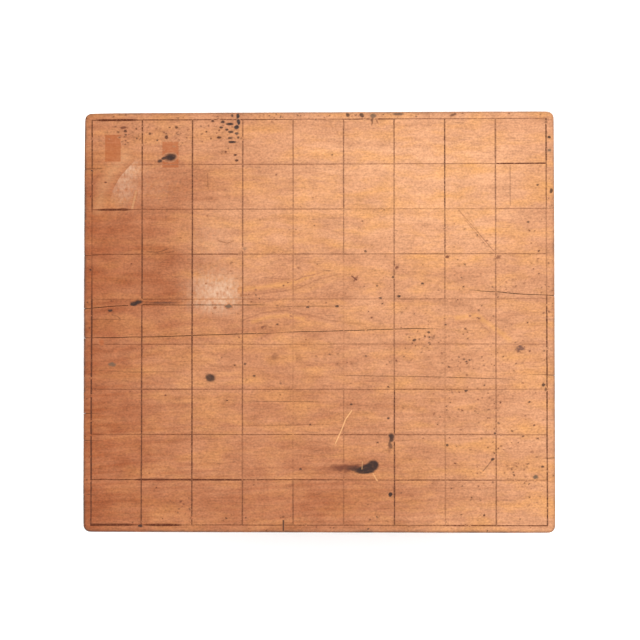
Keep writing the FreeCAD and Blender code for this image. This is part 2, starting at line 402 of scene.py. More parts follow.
def spread(half):
    """Positions from -half to half, close together beside both edges."""
    inner = half - EDGE_STEPS[-1]
    count = round(2 * inner / TOP_STEP)
    middle = [-inner + 2 * inner * index / count for index in range(1, count)]
    return [step - half for step in EDGE_STEPS] + middle + [half - step for step in reversed(EDGE_STEPS)]


def to_outline(x, y):
    """Bends the corners of a rectangle's grid to the block's rounded corners."""
    over_x = max(abs(x) - (HALF_X - CORNER), 0.0)
    over_y = max(abs(y) - (HALF_Y - CORNER), 0.0)
    if over_x > 0 and over_y > 0:
        shrink = max(over_x, over_y) / math.hypot(over_x, over_y)
        x = math.copysign(HALF_X - CORNER + over_x * shrink, x)
        y = math.copysign(HALF_Y - CORNER + over_y * shrink, y)
    return x, y


def from_edge(x, y):
    """How far inside the outline a point lies."""
    over_x = max(abs(x) - (HALF_X - CORNER), 0.0)
    over_y = max(abs(y) - (HALF_Y - CORNER), 0.0)
    if over_x or over_y:
        return CORNER - math.hypot(over_x, over_y)
    return min(HALF_X - abs(x), HALF_Y - abs(y))


def edge_radius(x, y):
    """How far the top edge is worn round, most of all at the corners and at the back left one."""
    radius = EDGE_RADIUS + EDGE_UNEVEN * wander(x, y, 0.02, 5.0)
    corner_x = max(0.0, 1 - (HALF_X - abs(x)) / CORNER_REACH)
    corner_y = max(0.0, 1 - (HALF_Y - abs(y)) / CORNER_REACH)
    radius += CORNER_EXTRA * corner_x * corner_y
    if x < 0 < y:
        radius += BACK_LEFT_EXTRA * corner_x * corner_y
    least, most = EDGE_RADII
    return min(max(radius, least), most) * MM


def edge_drop(x, y):
    """How far the rounded top edge falls below the top."""
    radius = edge_radius(x, y)
    inside = from_edge(x, y)
    if inside >= radius:
        return 0.0
    return radius - math.sqrt(max(radius**2 - (radius - inside) ** 2, 0.0))


def painted_edge_shade(x, y):
    """Painted shade on the rounded top edge: a dark rim all round, darkest at the left end and next along
    the front, away from the light at the back right.
    """
    inside = from_edge(x, y) / MM
    rim = math.exp(-((inside / RIM_WIDTH) ** 2))
    side = 0.5
    if x < -HALF_X + END_STRIP:
        side = 1.0
    elif y < -HALF_Y + END_STRIP:
        side = 0.8
    return rim * side * (0.8 + 0.5 * wander(x, y, 0.011, 7.0))


def block_shell(wood_material):
    """The whole worn block before its cracks and hollows are cut: a fine top, walls and a flat base."""
    xs, ys = spread(HALF_X), spread(HALF_Y)
    points = []
    for y in ys:
        for x in xs:
            px, py = to_outline(x, y)
            points.append((px, py, surface(px, py) - edge_drop(px, py)))
    wide, deep = len(xs), len(ys)
    faces = [
        (row * wide + col, row * wide + col + 1, (row + 1) * wide + col + 1, (row + 1) * wide + col)
        for row in range(deep - 1)
        for col in range(wide - 1)
    ]
    rim = list(range(wide)) + [row * wide + wide - 1 for row in range(1, deep)]
    rim += [(deep - 1) * wide + col for col in range(wide - 2, -1, -1)]
    rim += [row * wide for row in range(deep - 2, 0, -1)]
    ring = rim
    for depth in WALL_DEPTHS + [TOP - UNDERSIDE]:
        inset = BOTTOM_EDGE if depth == TOP - UNDERSIDE else 0.0
        start = len(points)
        for index in rim:
            x, y, _ = points[index]
            rough = 0.12 * MM * (1 + wander(x + y, depth, 0.018, 11.0)) + inset
            reach = math.hypot(x, y)
            points.append((x - x / reach * rough, y - y / reach * rough, TOP - depth))
        lower = list(range(start, start + len(rim)))
        for index, current in enumerate(ring):
            after = (index + 1) % len(ring)
            faces.append((current, lower[index], lower[after], ring[after]))
        ring = lower
    faces.append(tuple(reversed(ring)))
    return new_piece("board_block_worn", points, faces, wood_material)


# Broad pale patches, rubbed or bloomed: u, v, reach along u and v in cells, strength
HAZES = (
    (0.72, 1.08, 0.28, 0.16, 0.7),
    (0.62, 1.45, 0.22, 0.4, 0.6),
    (2.3, 3.74, 0.36, 0.28, 0.75),
    (2.7, 3.8, 0.3, 0.3, 0.85),
    (2.45, 4.12, 0.42, 0.2, 0.7),
    (2.4, 2.8, 0.5, 0.6, 0.18),
    (1.2, 1.55, 0.6, 0.4, 0.15),
)


def haze(x, y):
    """How much of a pale bloom lies on the wood."""
    u, v = cell_at(x, y)
    amount = 0.0
    for at_u, at_v, reach_u, reach_v, strength in HAZES:
        amount += strength * math.exp(-(((u - at_u) / reach_u) ** 2) - ((v - at_v) / reach_v) ** 2)
    return amount


def wall_grime(x, y, z):
    """How dirty the sides are: most at the upright corners and along the bottom edge."""
    corner = math.exp(-((HALF_X - abs(x) + HALF_Y - abs(y)) / (16 * MM)))
    low = math.exp(-((z - UNDERSIDE) / (7 * MM)))
    return 0.1 + 0.3 * corner + 0.35 * low


TOP_BAND = 4 * MM  # how far down the block counts as its top
SIDE_DARKER = 0.06


def paint(block):
    """Gives every point of the block its tone, its dark edge colour (painted shade on the top, dirt on the
    sides) and haze. The sides are a little darker.
    """
    tones, shade_and_dirt_amounts, hazes = [], [], []
    for vertex in block.data.vertices:
        x, y, z = vertex.co
        on_top = z > TOP - TOP_BAND
        tones.append(tone(x, y) - (0.0 if on_top else SIDE_DARKER))
        # On the top: painted shade along the rounded edge. On the sides: dirt.
        shade_and_dirt_amounts.append(painted_edge_shade(x, y) if on_top else wall_grime(x, y, z))
        hazes.append(haze(x, y) if on_top else 0.0)
    add_floats(block.data, {"tone": tones, "dirt_and_edge_shade": shade_and_dirt_amounts, "haze": hazes})


# Cracks along the grain, each from left to right: points in cells (u, v), width and depth in mm.
# Those past u = 0 or 9 reach an end.
CRACKS = (
    (((-0.2, 4.86), (0.4, 4.85), (0.98, 4.84), (1.41, 4.83), (1.97, 4.81), (2.96, 4.77), (3.62, 4.76)),
     0.5, 14),
    (((3.66, 4.75), (3.96, 4.73), (4.39, 4.72), (5.13, 4.7), (5.68, 4.68), (6.3, 4.66), (7.02, 4.67)),
     0.45, 6),
    (((7.1, 4.68), (7.57, 4.77)), 0.25, 3),
    (((-0.2, 4.21), (0.01, 4.19), (0.5, 4.15), (1, 4.12), (1.97, 4.13), (2.96, 4.13), (3.57, 4.13)),
     0.48, 12),
    (((3.62, 4.14), (3.9, 4.16), (4.82, 4.16), (5.12, 4.16)), 0.3, 4),
    (((7.48, 3.8), (7.75, 3.83), (8.1, 3.85), (8.44, 3.89), (9.2, 3.93)), 0.5, 9),
    (((4.91, 5.69), (6.13, 5.71), (6.96, 5.73), (8.46, 5.78)), 0.34, 5),
    (((8.64, 5.67), (9.2, 5.69)), 0.45, 10),
    (((0.01, 4.45), (0.3, 4.452), (0.65, 4.45)), 0.3, 4),
    (((0.32, 5.61), (1.1, 5.615), (1.85, 5.61)), 0.26, 3),
    (((0.4, 4.8), (0.58, 4.73)), 0.25, 2),
    (((3, 6.26), (3.9, 6.27), (4.78, 6.28)), 0.26, 3),
    (((3.15, 6.8), (4, 6.79), (4.82, 6.78)), 0.24, 3),
    (((5.06, 6.74), (5.34, 6.74)), 0.26, 2),
    (((-0.2, 1.09), (0.1, 1.09), (0.4, 1.08)), 0.45, 10),
    (((-0.2, 3.02), (0.15, 3.03)), 0.35, 8),
    (((-0.2, 6.54), (0.2, 6.53)), 0.35, 12),
    (((-0.2, 7.13), (0.25, 7.14)), 0.3, 8),
    (((-0.2, 8.34), (0.12, 8.34)), 0.3, 8),
    (((8.95, 1.99), (9.2, 1.99)), 0.35, 9),
    (((8.9, 7.52), (9.2, 7.51)), 0.35, 12),
)
CRACK_STEP = 7 * MM
END_REACH = 8 * MM  # nearer to an end than this, a crack runs out at its full width


def resampled(points, step):
    """The same open line with a point at least every step."""
    line = [points[0]]
    for start, end in zip(points, points[1:]):
        count = max(1, math.ceil(math.dist(start, end) / step))
        for index in range(1, count + 1):
            part = index / count
            line.append((start[0] + (end[0] - start[0]) * part, start[1] + (end[1] - start[1]) * part))
    return line


def crack_wedge(points, faces, cells, width, depth, seed):
    """Adds one long thin wedge, point down, to the tool that the cracks are cut with."""
    line = resampled([place(u, v) for u, v in cells], CRACK_STEP)
    start = len(points)
    for index, (x, y) in enumerate(line):
        ends = min(index, len(line) - 1 - index) / 3
        if abs(x) > HALF_X - END_REACH:
            ends = 1.0
        size = min(1.0, 0.25 + 0.75 * ends) * (1 + 0.35 * wander(x, y, 0.01, seed))
        half = max(0.05, 0.5 * width * size) * MM
        y += 0.25 * MM * wander(x, y, 0.012, seed + 0.5)
        top = surface(x, y) + 0.5 * MM
        bottom = surface(x, y) - depth * min(1.0, 0.4 + ends) * MM
        points.extend([(x, y - half, top), (x, y + half, top), (x, y, bottom)])
    for index in range(len(line) - 1):
        a = start + 3 * index
        b = a + 3
        faces.extend([(a, b, b + 1, a + 1), (a + 1, b + 1, b + 2, a + 2), (a + 2, b + 2, b, a)])
    last = start + 3 * (len(line) - 1)
    faces.extend([(start, start + 1, start + 2), (last + 2, last + 1, last)])


RECESS_SIDE, RECESS_DEPTH = 72 * MM, 18 * MM
PYRAMID_BASE, PYRAMID_HEIGHT = 60 * MM, 6 * MM
MORTISE_SIDE, MORTISE_DEPTH = 30.2 * MM, 32 * MM
LEG_X, LEG_Y = 130 * MM, 110 * MM
BELOW = UNDERSIDE - 5 * MM  # the hollows are cut from here up, well clear of the underside


def recess_tool(points, faces):
    """Adds the shape of the underside recess: a square block whose top is dented by the low pyramid."""
    start = len(points)
    rings = (
        (RECESS_SIDE / 2, BELOW),
        (RECESS_SIDE / 2, UNDERSIDE + RECESS_DEPTH),
        (PYRAMID_BASE / 2, UNDERSIDE + RECESS_DEPTH),
    )
    for half, z in rings:
        points.extend([(-half, -half, z), (half, -half, z), (half, half, z), (-half, half, z)])
    points.append((0, 0, UNDERSIDE + RECESS_DEPTH - PYRAMID_HEIGHT))
    faces.append((start + 3, start + 2, start + 1, start))
    for ring in (start, start + 4):
        for side in range(4):
            after = (side + 1) % 4
            faces.append((ring + side, ring + after, ring + 4 + after, ring + 4 + side))
    for side in range(4):
        faces.append((start + 8 + side, start + 8 + (side + 1) % 4, start + 12))


def mortise_tool(points, faces):
    """Adds the shapes of the four square holes that the legs' tenons are pushed into."""
    half = MORTISE_SIDE / 2
    for x in (-LEG_X, LEG_X):
        for y in (-LEG_Y, LEG_Y):
            start = len(points)
            for z in (BELOW, UNDERSIDE + MORTISE_DEPTH):
                points.extend([(x - half, y - half, z), (x + half, y - half, z)])
                points.extend([(x + half, y + half, z), (x - half, y + half, z)])
            faces.append((start + 3, start + 2, start + 1, start))
            faces.append((start + 4, start + 5, start + 6, start + 7))
            for side in range(4):
                after = (side + 1) % 4
                faces.append((start + side, start + after, start + 4 + after, start + 4 + side))


def make_block():
    """The worn block, with every crack, the underside recess and the mortises really cut."""
    block = block_shell(block_material())
    points, faces = [], []
    for number, (cells, width, depth) in enumerate(CRACKS):
        crack_wedge(points, faces, cells, width, depth, 20.0 + number)
    cracks = new_piece("crack_tool", points, faces, crack_material())
    points, faces = [], []
    recess_tool(points, faces)
    mortise_tool(points, faces)
    hollows = new_piece("hollow_tool", points, faces, block.data.materials[0])
    for tool in (cracks, hollows):
        if signed_volume(tool.data) < 0:
            tool.data.flip_normals()
        with_modifier(
            block, "BOOLEAN", operation="DIFFERENCE", solver="EXACT", object=tool, material_mode="TRANSFER"
        )
        bpy.data.objects.remove(tool)
    paint(block)
    shade(block, 35)
    belongs(block, "board_wood", "board_block")


def signed_volume(mesh):
    """Volume of a closed mesh, negative where its faces point inwards."""
    total = 0.0
    for face in mesh.polygons:
        corners = [mesh.vertices[index].co for index in face.vertices]
        for second, third in zip(corners[1:], corners[2:]):
            total += corners[0].dot(second.cross(third)) / 6
    return total


# ---------------------------------------------------------------- lacquer lines
# How much of a line is left, in six steps
HEAVY, FULL, WORN, THIN, FAINT, GHOST = 1.0, 0.8, 0.6, 0.48, 0.33, 0.14
# Each line's usual state, and its stretches in another: from, to, state, width factor
RANK_STATES = (
    (FULL, ((2, 3.3, FAINT, 0.8), (3.3, 3.9, WORN, 1), (4, 8, HEAVY, 1.15))),
    (FULL, ((1, 2.6, WORN, 1),)),
    (FULL, ()),
    (WORN, ((7, 8, FAINT, 1),)),
    (THIN, ((2, 4, FAINT, 0.8), (4, 8, GHOST, 0.7))),
    (WORN, ((2, 3, THIN, 0.8), (3, 6, GHOST, 1), (6, 9, FAINT, 0.9))),
    (THIN, ((0, 1, WORN, 1), (3, 4, WORN, 1), (6, 9, FULL, 1))),
    (FULL, ((2, 3, WORN, 1), (3, 4, THIN, 0.9), (4, 7, GHOST, 1.1), (7, 9, FAINT, 1))),
    (THIN, ((0, 1, WORN, 1.1), (1, 2, WORN, 1), (7, 9, WORN, 1))),
    (FULL, ((1, 2, WORN, 1), (2, 3.9, FAINT, 1))),
)
FILE_STATES = (
    (FULL, ((0.12, 0.85, HEAVY, 2.2), (4, 5, THIN, 0.9), (6, 9, WORN, 0.9))),
    (THIN, ((0, 1, GHOST, 0.6), (1, 2, FAINT, 0.9), (8, 9, HEAVY, 1.3))),
    (THIN, ((0.14, 0.72, HEAVY, 2.2), (2, 3, WORN, 1), (5, 8, FAINT, 1))),
    (THIN, ((0, 1, WORN, 1.1), (1, 2, FAINT, 0.9), (2, 2.9, FULL, 1), (6, 7, WORN, 1))),
    (FAINT, ((1, 2, THIN, 1), (2, 3, GHOST, 0.9), (6, 7, THIN, 1))),
    (FAINT, ((0, 2, THIN, 1.1), (3, 4, THIN, 1))),
    (THIN, ((1, 2, WORN, 1.1), (6, 7, WORN, 1.1), (8, 9, FAINT, 0.9))),
    (WORN, ((0, 1, THIN, 1), (1, 2, WORN, 1.15), (8, 9, THIN, 1))),
    (FULL, ((0.9, 3, HEAVY, 1.7), (5, 6, THIN, 1), (8, 9, THIN, 1))),
    (WORN, ((0, 0.8, HEAVY, 2.3), (1.1, 1.75, HEAVY, 2.4), (7, 9, FULL, 1.2))),
)
LINE_STEP = 2.4 * MM
LINE_DEPTH = 0.35 * MM
STRETCH_BLEND = 0.12  # in cells
FILE_DRAWN, RANK_DRAWN = 0.8 * MM, 1.1 * MM  # widths as drawn
FILE_LIFT, RANK_LIFT = 0.05 * MM, 0.06 * MM  # heights over the worn top
FILE_LACQUER = (0.072, 0.014, 0.002, 1)
RANK_LACQUER = (0.066, 0.017, 0.006, 1)


def line_state(strength, stretches, at):
    """Strength and width factor of a line at a place along it, blended at the ends of its stretches."""
    width = 1.0
    for start, end, other_strength, other_width in stretches:
        inside = min(at - start, end - at) / STRETCH_BLEND
        part = ramp(0.5 + inside)
        from_first = start <= 0 and at < end - STRETCH_BLEND
        to_last = end >= CELLS and at > start + STRETCH_BLEND
        if from_first or to_last:
            part = 1.0
        strength += (other_strength - strength) * part
        width += (other_width - width) * part
    return strength, width


def drawn_line(points, faces, strengths, run, across, width, lift, state, seed):
    """Adds one hand-drawn strip of lacquer. Run gives its places, and across points to its right."""
    start = len(points)
    for at, x, y in run:
        strength, wider = line_state(*state, at)
        drift = 0.16 * MM * wander(x, y, 0.05, seed) + 0.07 * MM * wander(x, y, 0.008, seed + 0.3)
        half = 0.5 * width * wider * (1 + 0.3 * wander(x, y, 0.006, seed + 0.6))
        x, y = x + across[0] * drift, y + across[1] * drift
        top = surface(x, y) - edge_drop(x, y) + lift
        for side, z in ((-1, top), (1, top), (1, top - LINE_DEPTH), (-1, top - LINE_DEPTH)):
            points.append((x + side * across[0] * half, y + side * across[1] * half, z))
            strengths.append(strength)
    count = len(run)
    for index in range(count - 1):
        a, b = start + 4 * index, start + 4 * index + 4
        for side in range(4):
            after = (side + 1) % 4
            faces.append((a + side, a + after, b + after, b + side))
    last = start + 4 * (count - 1)
    faces.append((start + 3, start + 2, start + 1, start))
    faces.append((last, last + 1, last + 2, last + 3))


def line_run(place_of, reach=0.0):
    """Places along a whole line, a little past its ends where asked, with the place in cells."""
    ends = place_of(0), place_of(CELLS)
    length = math.dist(*ends)
    count = round(length / LINE_STEP)
    over = reach / length * CELLS
    run = []
    for index in range(count + 1):
        at = -over + (CELLS + 2 * over) * index / count
        x, y = place_of(at)
        run.append((at, x, y))
    return run


def make_lines():
    """Both sets of lacquer lines, the rank lines a hair above the file lines that they cross."""
    sets = (
        ("file_lines", "file_lacquer", FILE_LACQUER, FILE_STATES, FILE_DRAWN, FILE_LIFT),
        ("rank_lines", "rank_lacquer", RANK_LACQUER, RANK_STATES, RANK_DRAWN, RANK_LIFT),
    )
    for node, slot, lacquer, states, width, lift in sets:
        points, faces, strengths = [], [], []
        for number, state in enumerate(states):
            if node == "file_lines":
                run = line_run(lambda at: place(at, number), RANK_WIDTH / 2)
                across = (0, 1)
            else:
                run = line_run(lambda at: place(number, at))
                across = (1, 0)
            drawn_line(points, faces, strengths, run, across, width, lift, state, 40.0 + number)
        tones = [tone(x, y) for x, y, _ in points]
        material = lacquer_material(f"{slot}_worn", lacquer)
        piece = new_piece(f"{node}_worn", points, faces, material, {"tone": tones, "strength": strengths})
        if signed_volume(piece.data) < 0:
            piece.data.flip_normals()
        belongs(piece, slot, node)


# ---------------------------------------------------------------- ink, stains, dents and scratches
INK = (0.028, 0.014, 0.011)
BLUE_INK = (0.030, 0.020, 0.018)
PURPLE_INK = (0.035, 0.015, 0.022)
GREY = (0.095, 0.060, 0.038)
BROWN = (0.085, 0.022, 0.012)
RED_BROWN = (0.25, 0.06, 0.015)
DARK_BROWN = (0.045, 0.014, 0.008)
RAW_WOOD = (0.62, 0.34, 0.15)
RUBBED = (0.50, 0.29, 0.14)
GOLDEN = (0.54, 0.25, 0.07)

# Blots: u, v, length and width in mm, turn in degrees, colour, strength, how far the edge wanders as a
# share of the width, and how far it fades as a share of the radius
BLOTS = (
    (5.1, 7.73, 28, 5.6, 2, BROWN, 0.8, 0.2, 0.85),
    (5.25, 7.76, 14, 3.6, -6, INK, 0.65, 0.25, 0.8),
    (5.4, 7.8, 14, 4.8, 2, INK, 0.95, 0.16, 0.45),
    (5.48, 7.75, 13, 7, 8, INK, 0.97, 0.1, 0.4),
    (5.57, 7.68, 10, 8, 16, INK, 1, 0.1, 0.4),
    (5.94, 7.05, 4.6, 7.4, 6, INK, 0.92, 0.2, 0.5),
    (5.92, 7.22, 3, 6, 4, INK, 0.7, 0.25, 0.7),
    (5.9, 7.32, 2.6, 9, 4, BROWN, 0.4, 0.3, 0.9),
    (2.36, 5.74, 7.4, 5.8, 0, INK, 0.88, 0.2, 0.5),
    (0.88, 4.08, 9.4, 4.4, 12, DARK_BROWN, 0.7, 0.2, 0.7),
    (0.85, 4.1, 6.4, 3, 16, INK, 0.97, 0.2, 0.4),
    (0.94, 4.06, 5.4, 2.4, 4, INK, 0.95, 0.2, 0.5),
    (1.42, 4.08, 22, 1.6, 0, INK, 0.6, 0.25, 0.7),
    (0.37, 4.25, 3.4, 2, 0, INK, 0.9, 0.2, 0.3),
    (0.41, 5.45, 5.9, 3.2, 0, GREY, 0.8, 0.2, 0.4),
    (2.72, 4.16, 5.5, 3.2, 0, GREY, 0.85, 0.2, 0.4),
    (1.55, 0.84, 9.6, 6, 6, DARK_BROWN, 0.75, 0.08, 0.6),
    (1.57, 0.835, 8, 4.8, 6, INK, 0.9, 0.1, 0.5),
    (1.43, 0.86, 4.2, 2.2, 10, INK, 0.85, 0.1, 0.5),
    (1.35, 0.92, 3.6, 2.4, 10, INK, 0.85, 0.12, 0.5),
    (2.905, -0.08, 2.4, 4.4, 0, BLUE_INK, 0.95, 0.12, 0.35),
    (2.915, 0.05, 2.6, 5, 4, BLUE_INK, 0.97, 0.12, 0.35),
    (2.875, 0.17, 4, 3.2, 20, BLUE_INK, 0.95, 0.14, 0.4),
    (2.74, 0.1, 6.2, 2, 0, INK, 0.95, 0.1, 0.4),
    (2.6, 0.05, 3, 2.2, 10, INK, 0.9, 0.14, 0.4),
    (2.4, 0.03, 2.6, 2, 0, DARK_BROWN, 0.9, 0.14, 0.4),
    (2.57, 0.175, 3.4, 1.8, 0, INK, 0.85, 0.12, 0.4),
    (2.68, 0.225, 2.6, 1.8, 8, INK, 0.85, 0.12, 0.4),
    (2.76, 0.275, 4.4, 1.9, 0, INK, 0.92, 0.1, 0.4),
    (2.88, 0.31, 3.2, 2, 0, BLUE_INK, 0.85, 0.12, 0.4),
    (2.53, 0.4, 3.6, 1.9, 0, DARK_BROWN, 0.92, 0.1, 0.4),
    (2.75, 0.41, 3.8, 1.7, 0, INK, 0.85, 0.1, 0.4),
    (2.91, 0.4, 2, 1.8, 0, INK, 0.8, 0.1, 0.4),
    (2.79, 0.5, 6.4, 1.9, 0, INK, 0.95, 0.08, 0.4),
    (2.79, -0.09, 2, 2.6, 0, INK, 0.85, 0.12, 0.4),
    (2.85, 0.79, 2.6, 1.8, 0, DARK_BROWN, 0.9, 0.12, 0.4),
    (2.88, 0.91, 3.2, 1.8, 0, DARK_BROWN, 0.9, 0.12, 0.4),
    (2.66, 0.72, 2, 1.6, 0, BROWN, 0.8, 0.12, 0.4),
    (0.62, 0.17, 5, 2.2, 6, BROWN, 0.85, 0.16, 0.5),
    (0.66, 0.25, 2.6, 2, 0, DARK_BROWN, 0.85, 0.14, 0.4),
    (1.48, 0.39, 3, 3, 40, DARK_BROWN, 0.85, 0.14, 0.4),
    (1.15, 0.31, 2.2, 1.8, 0, DARK_BROWN, 0.85, 0.12, 0.4),
    (1.68, 0.17, 2.4, 2, 0, DARK_BROWN, 0.8, 0.12, 0.4),
    (5.92, 8.32, 3.3, 3.3, 0, INK, 0.95, 0.12, 0.25),
    (8.48, 5.1, 5.6, 3.8, 10, PURPLE_INK, 0.75, 0.45, 0.8),
    (8.44, 5.16, 5, 1.4, -24, BROWN, 0.5, 0.4, 0.9),
    (8.93, 5.89, 2.4, 3.6, 10, INK, 0.85, 0.3, 0.5),
    (8.98, 6, 2.6, 3.4, 0, DARK_BROWN, 0.7, 0.3, 0.6),
    (8.77, 7.93, 4, 3, 0, GREY, 0.9, 0.2, 0.4),
    (9.06, 0.42, 2.6, 2.2, 0, INK, 0.9, 0.2, 0.3),
    (9.06, 0.71, 2.8, 2.2, 0, GREY, 0.8, 0.2, 0.4),
    (9.1, 1.61, 2.4, 4.2, 0, INK, 0.85, 0.2, 0.3),
    (8.83, 1.48, 2, 1.6, 0, INK, 0.8, 0.2, 0.3),
    (8.64, 2.3, 2.2, 1.6, 0, INK, 0.8, 0.2, 0.3),
    (6.4, 4.91, 3, 1.8, 20, INK, 0.9, 0.25, 0.3),
    (6.68, 4.74, 2.4, 1.6, 0, INK, 0.85, 0.25, 0.3),
    (7.41, 6.03, 2.8, 1.8, 0, INK, 0.85, 0.25, 0.3),
    (6.56, 3.66, 2.4, 1.6, 0, INK, 0.8, 0.25, 0.3),
    (5.98, 3.52, 2.2, 1.6, 0, INK, 0.8, 0.25, 0.3),
    (8.91, 7.7, 2.2, 1.8, 0, INK, 0.85, 0.2, 0.3),
    (7.93, 7.54, 3, 2, 0, INK, 0.85, 0.2, 0.3),
    (7.04, 7.23, 2.4, 1.8, 0, INK, 0.8, 0.2, 0.3),
    (5.24, 3.55, 6.4, 1.8, 50, BROWN, 0.6, 0.4, 0.7),
    (6.05, 3.3, 3.4, 2, 20, BROWN, 0.8, 0.3, 0.6),
    (7.05, 3.07, 3.4, 2, 10, BROWN, 0.85, 0.3, 0.6),
    (8.05, 3.08, 5, 2.4, 30, BROWN, 0.6, 0.4, 0.7),
    (3.42, 4.62, 5, 2.4, 30, BROWN, 0.6, 0.4, 0.7),
    (3.62, 5.28, 8, 4.4, 25, BROWN, 0.4, 0.4, 0.9),
    (4.1, 5.28, 3.4, 7, 20, BROWN, 0.35, 0.4, 0.9),
    (0.2, 4.96, 3.6, 4.4, 0, RED_BROWN, 0.6, 0.4, 0.8),
    (7.98, 6.97, 2.2, 1.8, 0, INK, 0.8, 0.2, 0.3),
    (5.88, 6.64, 2, 1.6, 0, INK, 0.85, 0.2, 0.3),
    (4.15, 7.76, 2.2, 1.6, 0, INK, 0.8, 0.2, 0.3),
    (5.15, 6.33, 2, 1.4, 0, INK, 0.8, 0.2, 0.3),
    (4.29, 4.18, 2.6, 1.4, 0, INK, 0.85, 0.2, 0.3),
    (4.87, 4.16, 3.2, 1.6, 0, INK, 0.9, 0.2, 0.3),
    (3.05, 5.44, 2.2, 1.4, 0, INK, 0.8, 0.2, 0.3),
    (3.23, 5.7, 2.4, 1.4, 0, INK, 0.8, 0.2, 0.3),
    (3.69, 4.56, 2, 1.4, 0, INK, 0.8, 0.2, 0.3),
    (5.73, 3.98, 2.6, 1.6, 0, INK, 0.85, 0.2, 0.3),
    (6.09, 3.94, 3, 1.8, 0, INK, 0.9, 0.2, 0.3),
    (5.43, 2.94, 2.2, 1.6, 0, INK, 0.8, 0.2, 0.3),
    (3.04, 2.88, 5, 2.6, 0, GREY, 0.45, 0.3, 0.7),
    (5.08, -0.1, 3.4, 3.8, 0, INK, 0.85, 0.25, 0.5),
    (5.36, -0.1, 3, 4.2, 0, INK, 0.85, 0.25, 0.5),
    (5.59, -0.07, 4.4, 3.4, 0, GREY, 0.8, 0.25, 0.5),
    (5.57, 0.06, 1.6, 6, 0, DARK_BROWN, 0.7, 0.3, 0.6),
    (5.67, 0.02, 1.6, 4.4, 0, BROWN, 0.6, 0.3, 0.6),
    (6.08, -0.11, 9, 2.4, 0, BLUE_INK, 0.75, 0.2, 0.6),
    (7.17, -0.09, 5.4, 2, 20, DARK_BROWN, 0.7, 0.35, 0.6),
    (0.98, 9.02, 3.4, 2.6, 0, INK, 0.9, 0.2, 0.3),
)
# Strokes: places in cells, width in mm, colour, strength
STROKES = (
    (((3.81, 8.9), (3.81, 9.12)), 1.1, INK, 0.9),
    (((5.16, 3.49), (5.26, 3.58)), 1, BROWN, 0.8),
    (((7.93, 7.54), (7.82, 7.7), (7.74, 7.8)), 0.7, INK, 0.6),
    (((7.28, 2.04), (7.6, 2.46), (7.96, 2.94)), 0.45, BROWN, 0.6),
    (((7.4, 2.25), (7.66, 2.6), (7.84, 2.86)), 0.4, BROWN, 0.5),
    (((8.29, 1.05), (8.29, 1.5), (8.29, 1.94)), 0.45, INK, 0.6),
    (((0.4, 4.34), (0.52, 4.38), (0.58, 4.45)), 0.4, INK, 0.7),
    (((5.16, 6.47), (5.04, 6.66), (4.95, 6.92), (4.84, 7.19)), 0.8, RAW_WOOD, 0.6),
    (((5.58, 7.86), (5.66, 8.02)), 0.8, RAW_WOOD, 0.45),
    (((5.37, 7.6), (5.36, 7.76)), 0.6, RAW_WOOD, 0.4),
    (((2.3, 1.2), (2.31, 1.52)), 0.6, DARK_BROWN, 0.45),
    (((1.1, 2.94), (1.3, 2.96), (1.52, 2.88)), 0.6, DARK_BROWN, 0.6),
    (((1.2, 2.99), (1.4, 2.98), (1.64, 2.93)), 0.5, DARK_BROWN, 0.5),
    (((2.52, 2.7), (2.7, 2.76), (2.82, 2.7)), 0.6, DARK_BROWN, 0.45),
    (((4.05, 3.58), (4.2, 3.5), (4.42, 3.46)), 0.6, BROWN, 0.4),
    (((3.6, 2.95), (3.72, 3.03), (3.8, 2.96)), 0.5, BROWN, 0.5),
    (((7.98, 2.96), (7.7, 2.6), (7.45, 2.1)), 0.35, DARK_BROWN, 0.35),
)
# Swirls of the grain, then soft pale rubs, written as strokes
RUBS = (
    (((2.97, 3.92), (3.59, 3.85), (4.04, 3.79), (4.53, 3.55), (4.93, 3.44)), 1, BROWN, 0.34),
    (((2.97, 3.8), (3.5, 3.72), (3.95, 3.66), (4.4, 3.44)), 3, GOLDEN, 0.35),
    (((2.97, 4.48), (3.4, 4.3), (3.84, 4.25), (4.34, 4.36), (4.73, 4.48), (5.43, 4.57)), 1, BROWN, 0.3),
    (((3.2, 4.5), (3.5, 4.4), (3.86, 4.36), (4.2, 4.45)), 2.6, GOLDEN, 0.35),
    (((3.4, 3.52), (4.04, 3.57), (4.6, 3.4)), 0.9, BROWN, 0.25),
    (((2.06, 5.29), (2.41, 5.48), (2.9, 5.51)), 0.8, BROWN, 0.3),
    (((6.75, 3.84), (6.91, 3.61), (7.19, 3.64), (7.39, 3.53), (7.7, 3.5)), 1.6, BROWN, 0.22),
    (((7.2, 4.12), (7.5, 4.18), (7.56, 4.34)), 4, BROWN, 0.2),
    (((7.23, 4.42), (7.62, 4.36), (7.94, 4.62), (8.26, 4.9)), 3, GOLDEN, 0.4),
    (((7.3, 4.52), (7.66, 4.5), (7.86, 4.72)), 0.9, BROWN, 0.26),
    (((7.9, 4.42), (8.3, 4.55), (8.85, 4.6)), 1, BROWN, 0.24),
    (((0.66, 0.82), (0.4, 1.14), (0.22, 1.5), (0.12, 1.96)), 8, RUBBED, 0.22),
    (((0.88, 1.6), (0.8, 1.98)), 1.4, RUBBED, 0.4),
)
# Ghosts of old paper labels: low and high u and v, strength
GHOSTS = (
    (0.27, 0.56, 0.34, 0.92, 0.62),
    (1.41, 1.71, 0.5, 1.06, 0.6),
)
